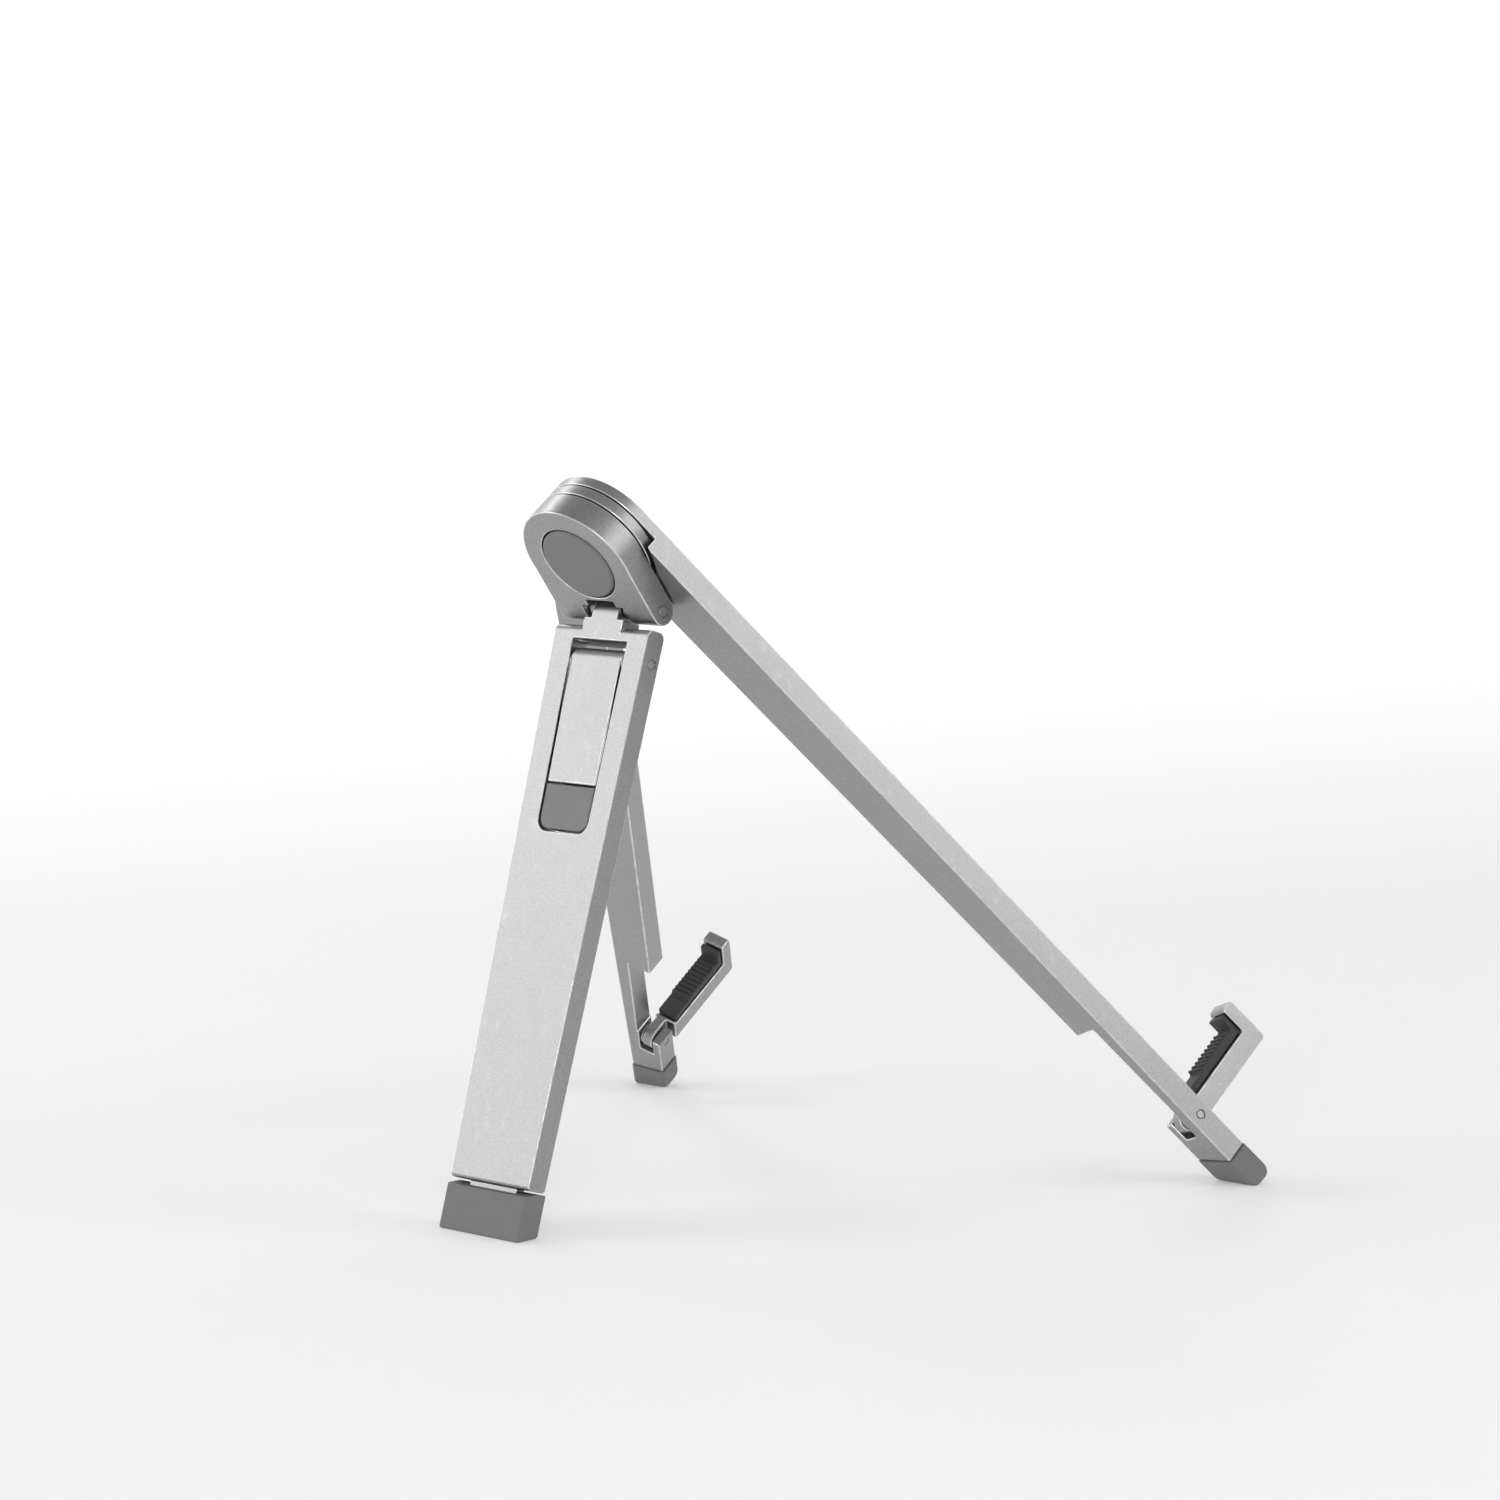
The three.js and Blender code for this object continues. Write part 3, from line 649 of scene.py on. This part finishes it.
def arc(
    centre: tuple[float, float],
    radius: float,
    start: float,
    end: float,
    steps: int,
) -> list[tuple[float, float]]:
    """Points of an arc in a profile, angles in degrees."""
    angles = [math.radians(start + (end - start) * step / steps) for step in range(steps + 1)]
    return [(centre[0] + radius * math.cos(a), centre[1] + radius * math.sin(a)) for a in angles]


# ---- Sub-assemblies -------------------------------------------------------------------------------


@dataclass
class Knuckle:
    """The rear knuckle with its cap and the hardware on the pivot axle and the rear hinge pin."""

    body: str = "head"
    edge: Rounding = Rounding(0.22 * MM, 3, bore_clear=1.5 * MM)
    cap_rim: float = 0.5 * MM
    cap_dish: float = 0.06 * MM
    cap_foot: float = 0.2 * MM
    land: tuple[float, float] = (1.6, 2.4)  # where the dish begins and is full, in rims from the edge

    def build(self) -> None:
        """Makes the knuckle's pieces."""
        pivot = Axis.of_joint("right_leg_fold")
        rear_pin = Axis.of_joint("rear_leg_fold")
        metal = [Finish.ALUMINIUM, Finish.CUT_EDGE]
        machined("head_knuckle", self.body, metal, self.edge, [rear_pin])
        self.cap(pivot)
        steel = [Finish.STEEL, Finish.STEEL]
        pins = ("pivot_axle", "pivot_nut", "rear_hinge_pin")
        washers = ("pivot_spring_washer", "hinge_washer_left", "hinge_washer_right")
        for node in pins + washers:
            machined(node, self.body, steel, FINE_EDGE)
        for node in ("pivot_washer_front", "pivot_washer_rear"):
            machined(node, self.body, [Finish.NYLON, Finish.NYLON], FINE_EDGE)

    def cap(self, pivot: Axis) -> None:
        """The round cap: a shallow dished face inside a rounded rim."""
        bottom, top = pivot.span("head_cap")
        radius = pivot.reach("head_cap")
        rim = self.cap_rim
        dish = top - self.cap_dish
        profile = [(0.0, bottom), (radius - self.cap_foot, bottom), (radius, bottom + self.cap_foot)]
        profile += arc((radius - rim, top - rim), rim, 0, 90, 12)
        flat_to, dish_from = self.land
        profile += [(radius - flat_to * rim, top), (radius - dish_from * rim, dish), (0.0, dish)]
        piece = turned("head_cap_finished", profile, pivot)
        dressed(piece, self.body, ["head_cap"], [Finish.CAP])


class Side(Enum):
    """Left and right of a person who faces the tablet."""

    LEFT = "left"
    RIGHT = "right"


@dataclass
class FrontLeg:
    """One front leg with its foot, arm pin and washer; the left one carries the round front pad."""

    side: Side
    edge: Rounding = Rounding(0.24 * MM, 3, bore_clear=1.4 * MM)
    foot_edge: Rounding = Rounding(0.8 * MM, 4)
    washer_edge: Rounding = Rounding(0.06 * MM, 1)
    pad_rim: float = 0.5 * MM
    pad_rings: int = 3
    pad_ring_half: float = 0.3 * MM
    pad_ring_depth: float = 0.18 * MM
    pad_margin: float = 1.6  # plain rim outside the outermost ring, in ring pitches

    def build(self) -> None:
        """Makes the leg's pieces."""
        name = self.side.value
        body = f"front_leg_{name}"
        pin = Axis.of_joint(f"{name}_arm_fold")
        metal = [Finish.ALUMINIUM, Finish.CUT_EDGE]
        machined(f"front_leg_{name}", body, metal, self.edge, [pin])
        moulded_foot(f"front_foot_{name}", body, Axis.of_joint("right_leg_fold"), self.foot_edge)
        steel = [Finish.STEEL, Finish.STEEL]
        machined(f"arm_pin_{name}", body, steel, PIN_EDGE)
        machined(f"arm_washer_{name}", body, steel, self.washer_edge)
        if self.side is Side.LEFT:
            self.front_pad(body)

    def front_pad(self, body: str) -> None:
        """The round rubber pad behind the tablet, with turned grooves."""
        pivot = Axis.of_joint("left_leg_fold")
        bottom, top = pivot.span("front_pad")
        radius = pivot.reach("front_pad")
        rim = self.pad_rim
        profile = [(0.0, bottom), (radius, bottom)] + arc((radius - rim, top - rim), rim, 0, 90, 8)
        pitch = radius / (self.pad_rings + self.pad_margin)
        half = self.pad_ring_half
        for ring in range(self.pad_rings, 0, -1):
            centre = pitch * ring
            profile += [(centre + half, top), (centre + half * 0.5, top - self.pad_ring_depth)]
            profile += [(centre - half * 0.5, top - self.pad_ring_depth), (centre - half, top)]
        profile.append((0.0, top))
        piece = turned("front_pad_finished", profile, pivot)
        # The pad rubber's near-black colour is painted shade.
        dressed(piece, body, ["front_pad"], [Finish.PAD_RUBBER])


class RibTree:
    """Geometry Nodes that lay a row of rounded ribs along an arm's lining."""

    INPUTS = (
        ("Count", "NodeSocketInt"),
        ("Pitch", "NodeSocketVector"),
        ("Start", "NodeSocketVector"),
        ("Rib Size", "NodeSocketVector"),
        ("Turn", "NodeSocketRotation"),
        ("Finish", "NodeSocketMaterial"),
    )

    def __init__(self) -> None:
        """Builds the tree with its named inputs."""
        self.tree = bpy.data.node_groups.new("lining_ribs", "GeometryNodeTree")
        face = self.tree.interface
        face.new_socket("Geometry", in_out="INPUT", socket_type="NodeSocketGeometry")
        face.new_socket("Geometry", in_out="OUTPUT", socket_type="NodeSocketGeometry")
        self.ids = {}
        for name, kind in self.INPUTS:
            self.ids[name] = face.new_socket(name, in_out="INPUT", socket_type=kind).identifier
        self._connect()

    def _node(self, kind: str, settings: dict | None = None, links: dict | None = None) -> bpy.types.Node:
        """Adds a node, sets its properties, then links or sets its inputs."""
        node = self.tree.nodes.new(kind)
        for key, value in (settings or {}).items():
            setattr(node, key, value)
        for key, value in (links or {}).items():
            if isinstance(value, bpy.types.NodeSocket):
                self.tree.links.new(value, node.inputs[key])
            else:
                node.inputs[key].default_value = value
        return node

    def _connect(self) -> None:
        """A row of points, a rounded bar on each, all made real and joined to the lining."""
        given = self._node("NodeGroupInput").outputs
        row = self._node(
            "GeometryNodeMeshLine",
            {"mode": "OFFSET"},
            {"Count": given["Count"], "Start Location": given["Start"], "Offset": given["Pitch"]},
        )
        bar = self._node("GeometryNodeMeshCylinder", None, {"Vertices": 16, "Radius": 0.5, "Depth": 1.0})
        sized = self._node(
            "GeometryNodeTransform", None, {"Geometry": bar.outputs["Mesh"], "Scale": given["Rib Size"]}
        )
        placed = self._node(
            "GeometryNodeInstanceOnPoints",
            None,
            {"Points": row.outputs[0], "Instance": sized.outputs[0], "Rotation": given["Turn"]},
        )
        joined = self._node("GeometryNodeJoinGeometry")
        self.tree.links.new(given["Geometry"], joined.inputs[0])
        self.tree.links.new(placed.outputs[0], joined.inputs[0])
        real = self._node("GeometryNodeRealizeInstances", None, {"Geometry": joined.outputs[0]})
        dress = self._node(
            "GeometryNodeSetMaterial", None, {"Geometry": real.outputs[0], "Material": given["Finish"]}
        )
        self._node("NodeGroupOutput", None, {"Geometry": dress.outputs[0]})

    def applied(self, base: bpy.types.Object, values: dict[str, Any]) -> None:
        """Runs the tree on a piece and keeps the result as its plain mesh.

        Args:
            base: the piece that gets the ribs.
            values: named input to value.
        """
        ribs = base.modifiers.new("ribs", "NODES")
        ribs.node_group = self.tree
        for name, value in values.items():
            ribs[self.ids[name]] = value
        graph = bpy.context.evaluated_depsgraph_get()
        mesh = bpy.data.meshes.new_from_object(base.evaluated_get(graph))
        base.modifiers.clear()
        base.data = mesh


@dataclass
class Arm:
    """One fold-out arm: the hinged bar with its lip, and the ribbed rubber lining."""

    side: Side
    ribs: RibTree
    edge: Rounding = Rounding(0.25 * MM, 3, bore_clear=1.2 * MM)
    lining_edge: Rounding = Rounding(0.2 * MM, 2)
    rib_count: int = 9
    rib_pitch: float = 1.15 * MM
    rib_size: tuple[float, float, float] = (0.8 * MM, 0.7 * MM, 3.9 * MM)

    def build(self) -> None:
        """Makes the arm's pieces."""
        name = self.side.value
        body = f"arm_{name}"
        pin = Axis.of_joint(f"{name}_arm_fold")
        metal = [Finish.ALUMINIUM, Finish.CUT_EDGE]
        machined(body, body, metal, self.edge, [pin])
        self.lining(body)

    def lining(self, body: str) -> None:
        """The rubber lining with ribs across its raised seat."""
        node = body.replace("arm", "arm_pad")
        shape = merged_copy(node)
        break_edges(shape, self.lining_edge)
        piece = link(new_mesh(shape, node + "_finished"), node + "_finished")
        seat = mount(body.replace("arm", "seat"))
        out = mount("back_rest").direction
        across = seat.direction.cross(out).normalized()
        half_row = (self.rib_count - 1) / 2 * self.rib_pitch
        self.ribs.applied(piece, {
            "Count": self.rib_count,
            "Pitch": out * self.rib_pitch,
            "Start": seat.point - out * half_row,
            "Rib Size": Vector(self.rib_size),
            "Turn": across.to_track_quat("Z", "Y").to_euler(),
            "Finish": Finish.PAD_RUBBER.made(),
        })
        smooth(piece)
        # The lining's and ribs' near-black pad rubber is painted shade.
        dressed(piece, body, [node], [Finish.PAD_RUBBER, Finish.PAD_RUBBER])


@dataclass
class RearLeg:
    """The rear leg with its window, foot and the typing leg's pin and spring."""

    body: str = "rear_leg"
    edge: Rounding = Rounding(0.2 * MM, 3, bore_clear=1.5 * MM)
    foot_edge: Rounding = Rounding(0.55 * MM, 4)

    def build(self) -> None:
        """Makes the rear leg's pieces."""
        pins = [Axis.of_joint("rear_leg_fold"), Axis.of_joint("typing_leg_swing")]
        metal = [Finish.ALUMINIUM, Finish.CUT_EDGE]
        machined("rear_leg", self.body, metal, self.edge, pins)
        moulded_foot("rear_foot", self.body, pins[0], self.foot_edge)
        steel = [Finish.STEEL, Finish.STEEL]
        machined("typing_leg_pin", self.body, steel, PIN_EDGE)
        # The spring's near-black colour is painted shade of the window gap; its broken edges keep bright
        # steel.
        spring = [Finish.SPRING_STEEL, Finish.STEEL]
        machined("typing_leg_spring", self.body, spring, FINE_EDGE)


@dataclass
class TypingLeg:
    """The short leg in the rear leg's window, with its rubber tip."""

    body: str = "typing_leg"
    edge: Rounding = Rounding(0.35 * MM, 2, bore_clear=1.3 * MM)
    tip_edge: Rounding = Rounding(0.3 * MM, 3)

    def build(self) -> None:
        """Makes the typing leg's pieces."""
        pin = Axis.of_joint("typing_leg_swing")
        metal = [Finish.ALUMINIUM, Finish.CUT_EDGE]
        machined("typing_leg", self.body, metal, self.edge, [pin])
        rubber = [Finish.TIP_RUBBER, Finish.TIP_RUBBER]
        machined("typing_leg_tip", self.body, rubber, self.tip_edge)


# ---- Studio ---------------------------------------------------------------------------------------


@dataclass(frozen=True)
class Softbox:
    """One soft area light, placed by its direction from the stand."""

    name: str
    azimuth: float
    elevation: float
    power: float
    size: float = 1.0


@dataclass
class Studio:
    """A pale floor that curves up into a pale backdrop, soft lights and the camera."""

    camera_offset: Vector = field(default_factory=lambda: Vector((-0.62692, 0.61831, 0.06585)))
    look: Vector = field(default_factory=lambda: Vector((0.68713, -0.71650, -0.12024)))
    roll: float = math.radians(-0.93)
    lens: float = 117.35
    sensor: float = 36.0
    clip: tuple[float, float] = (0.01, 30.0)
    axle_setback: float = 2.4 * MM
    floor_colour: Colour = (0.9, 0.9, 0.9)
    floor_glow: float = 0.17
    world_strength: float = 0.42
    sweep_from: float = 0.9
    sweep_radius: float = 1.4
    wall: float = 0.8
    sweep_steps: int = 24
    stage_width: float = 7.0
    softbox_distance: float = 1.35
    softbox_aim: float = 0.06
    softboxes: tuple[Softbox, ...] = (
        Softbox("rear_key", 43, 20, 5.0),
        Softbox("left_wash", 10, 12, 0.9),
        Softbox("right_fill", 203, 31, 3.3, 0.8),
        Softbox("behind_camera", 128, 6, 3.2, 0.4),
        Softbox("camera_side", 150, 35, 1.6),
        Softbox("far_top", 345, 40, 1.6, 0.4),
    )
    backdrop_power: float = 14.0
    backdrop_lamp_size: tuple[float, float] = (2.4, 0.6)
    backdrop_lamp_place: tuple[float, float] = (0.9, 1.3)  # away from the camera, and up
    backdrop_lamp_drop: float = 0.45

    def build(self) -> None:
        """Makes the stage, the lights and the camera."""
        self.stage()
        for softbox in self.softboxes:
            self.light(softbox)
        self.backdrop_light()
        self.world()
        self.camera()

    def stage(self) -> None:
        """The floor and backdrop."""
        tree = ShaderTree("studio_floor")
        cloud = tree.noise(0.3, 2.0)
        shaded = tuple(c * 0.985 for c in self.floor_colour)
        material = tree.principled({
            "Base Color": tree.mix(cloud, shaded, self.floor_colour),
            "Roughness": 0.9,
            "Specular IOR Level": 0.1,
            "Emission Color": (1.0, 1.0, 1.0, 1.0),
            "Emission Strength": self.floor_glow,
        })
        shape = bmesh.new()
        radius = self.sweep_radius
        flat = self.sweep_from + radius
        profile = [(-flat, 0.0)] + arc((self.sweep_from, radius), radius, -90, 0, self.sweep_steps)
        profile.append((flat, radius + self.wall))
        away = self.look.xy.normalized()
        across = Vector((-away.y, away.x))
        rows = []
        for distance, height in profile:
            ends = [away * distance + across * (side * self.stage_width / 2) for side in (-1, 1)]
            rows.append([shape.verts.new((end.x, end.y, height)) for end in ends])
        for low, high in zip(rows, rows[1:]):
            shape.faces.new([low[0], low[1], high[1], high[0]])
        bmesh.ops.recalc_face_normals(shape, faces=shape.faces)
        mesh = new_mesh(shape, "floor")
        mesh.polygons.foreach_set("use_smooth", [True] * len(mesh.polygons))
        floor = link(mesh, "floor")
        floor.data.materials.append(material)

    def light(self, softbox: Softbox) -> None:
        """One area light that faces the stand."""
        lamp = bpy.data.lights.new(softbox.name, "AREA")
        lamp.shape = "DISK"
        lamp.size = softbox.size
        lamp.energy = softbox.power
        holder = bpy.data.objects.new(softbox.name, lamp)
        azimuth = math.radians(softbox.azimuth)
        elevation = math.radians(softbox.elevation)
        level = math.cos(elevation)
        away = Vector((math.cos(azimuth) * level, math.sin(azimuth) * level, math.sin(elevation)))
        holder.location = away * self.softbox_distance + Vector((0.0, 0.0, self.softbox_aim))
        holder.rotation_mode = "QUATERNION"
        holder.rotation_quaternion = away.to_track_quat("Z", "Y")
        bpy.context.scene.collection.objects.link(holder)

    def backdrop_light(self) -> None:
        """A broad lamp over the stand that faces away from it, on to the backdrop."""
        away = self.look.xy.normalized().to_3d()
        lamp = bpy.data.lights.new("backdrop_light", "AREA")
        lamp.shape = "RECTANGLE"
        lamp.size, lamp.size_y = self.backdrop_lamp_size
        lamp.energy = self.backdrop_power
        holder = bpy.data.objects.new("backdrop_light", lamp)
        along, height = self.backdrop_lamp_place
        holder.location = away * along + Vector((0.0, 0.0, height))
        holder.rotation_mode = "QUATERNION"
        aim = away - Vector((0.0, 0.0, self.backdrop_lamp_drop))
        holder.rotation_quaternion = aim.to_track_quat("-Z", "Y")
        bpy.context.scene.collection.objects.link(holder)

    def world(self) -> None:
        """An even pale surround."""
        world = bpy.data.worlds.new("studio")
        world.use_nodes = True
        background = world.node_tree.nodes["Background"]
        background.inputs["Color"].default_value = (1.0, 1.0, 1.0, 1.0)
        background.inputs["Strength"].default_value = self.world_strength
        bpy.context.scene.world = world
        bpy.context.scene.view_settings.view_transform = "Standard"

    def camera(self) -> None:
        """The camera, placed from the pivot axis."""
        pivot = Axis.of_joint("right_leg_fold")
        front = pivot.point - pivot.direction * self.axle_setback
        data = bpy.data.cameras.new("camera")
        data.lens = self.lens
        data.sensor_width = self.sensor
        data.clip_start, data.clip_end = self.clip
        camera = bpy.data.objects.new("camera", data)
        camera.location = front + self.camera_offset
        camera.rotation_mode = "QUATERNION"
        turn = self.look.to_track_quat("-Z", "Y")
        camera.rotation_quaternion = turn @ Quaternion((0.0, 0.0, 1.0), self.roll)
        bpy.context.scene.collection.objects.link(camera)
        bpy.context.scene.camera = camera


# ---- Making the scene -----------------------------------------------------------------------------


def main() -> None:
    logging.basicConfig(level=logging.INFO, format="%(name)s: %(message)s")
    Knuckle().build()
    ribs = RibTree()
    for side in Side:
        FrontLeg(side).build()
        Arm(side, ribs).build()
    RearLeg().build()
    TypingLeg().build()
    Studio().build()


if __name__ == "__main__":
    main()
